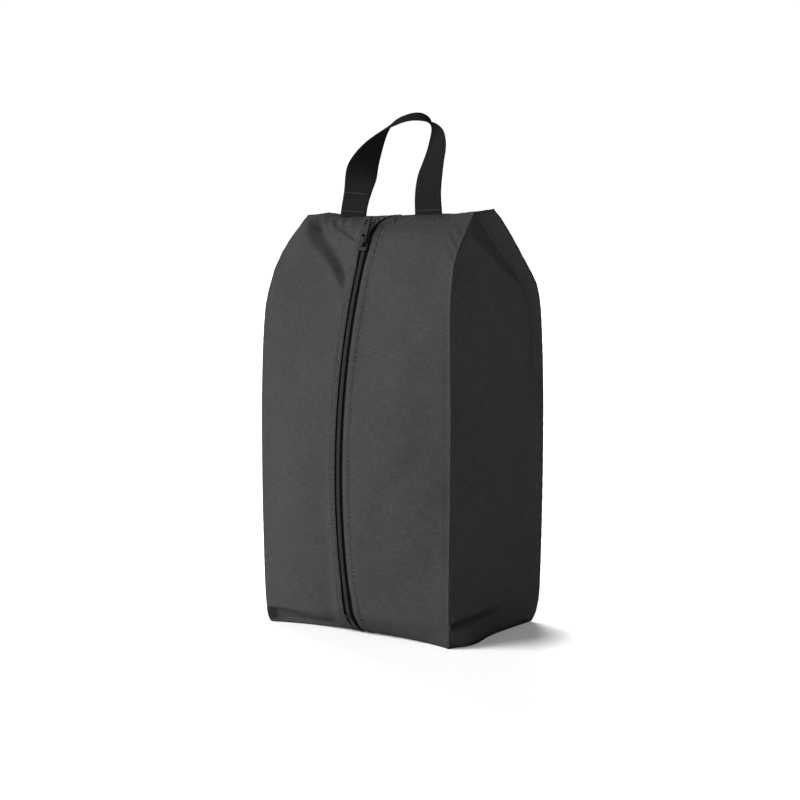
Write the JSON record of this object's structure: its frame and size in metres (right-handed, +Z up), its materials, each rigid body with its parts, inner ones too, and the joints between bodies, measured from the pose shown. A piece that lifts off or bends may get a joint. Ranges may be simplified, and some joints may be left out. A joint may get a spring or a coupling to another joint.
{
  "type": "shoe bag",
  "caption": "Upright soft shoe bag with a gabled top, a zip running down the middle of the bulging front and a short webbing carry loop.",
  "frame": {"origin": "middle of the bag's footprint box, on the floor it stands on", "axes": "+Z up, -Y towards the zip side, +X across the bag; the bag is mirror symmetric about X = 0 apart from the handle"},
  "size_m": [0.2204, 0.2052, 0.4839],
  "materials": {
    "shell_cloth": "fine plain-weave nylon with a faint sheen",
    "webbing": "herringbone polypropylene webbing",
    "zip_tape": "knitted tape",
    "zip_coil": "satin nylon coil",
    "slider_metal": "satin black",
    "thread": "spun thread",
    "binding": "woven tape"
  },
  "bodies": {
    "bag": {"back_panel": "shell_cloth", "side_gusset_left": "shell_cloth", "side_gusset_right": "shell_cloth", "top_panel": "shell_cloth", "bottom_panel": "shell_cloth", "front_upper_left": "shell_cloth", "front_upper_right": "shell_cloth", "front_lower_left": "shell_cloth", "front_lower_right": "shell_cloth", "zip_tape_head_left": "zip_tape", "zip_coil_head_left": "zip_coil", "zip_tape_head_right": "zip_tape", "zip_coil_head_right": "zip_coil", "zip_tape_foot_left": "zip_tape", "zip_coil_foot_left": "zip_coil", "zip_tape_foot_right": "zip_tape", "zip_coil_foot_right": "zip_coil", "zip_stop_top": "slider_metal", "zip_stop_bottom": "slider_metal", "handle_seam_left": "thread", "handle_seam_right": "thread", "seam_binding_left": "binding", "seam_binding_right": "binding"},
    "flap_left": {"front_left_panel": "shell_cloth", "zip_tape_left": "zip_tape", "zip_coil_left": "zip_coil"},
    "flap_right": {"front_right_panel": "shell_cloth", "zip_tape_right": "zip_tape", "zip_coil_right": "zip_coil"},
    "slider": {"slider_body": "slider_metal"},
    "pull": {"pull_tab": "slider_metal"},
    "handle": {"handle_webbing": "webbing"}
  },
  "joints": [
    {"name": "flap_left_fold", "type": "hinge", "parent": "bag", "child": "flap_left", "pos_m": [-0.1075, -0.08, 0.2], "axis": [0, 0, -1], "range_deg": [0, 55]},
    {"name": "flap_right_fold", "type": "hinge", "parent": "bag", "child": "flap_right", "pos_m": [0.1075, -0.08, 0.2], "axis": [0, 0, 1], "range_deg": [0, 55]},
    {"name": "slider_travel", "type": "hinge", "parent": "bag", "child": "slider", "pos_m": [0, 0.449, 0.15], "axis": [1, 0, 0], "range_deg": [0, 34.6]},
    {"name": "pull_swing", "type": "hinge", "parent": "slider", "child": "pull", "pos_m": [0, -0.06413, 0.36306], "axis": [1, 0, 0], "range_deg": [0, 170]},
    {"name": "handle_fold", "type": "hinge", "parent": "bag", "child": "handle", "pos_m": [0, -0.022, 0.3915], "axis": [1, 0, 0], "range_deg": [-58, 68], "stiffness_Nm_per_rad": 0.03}
  ]
}
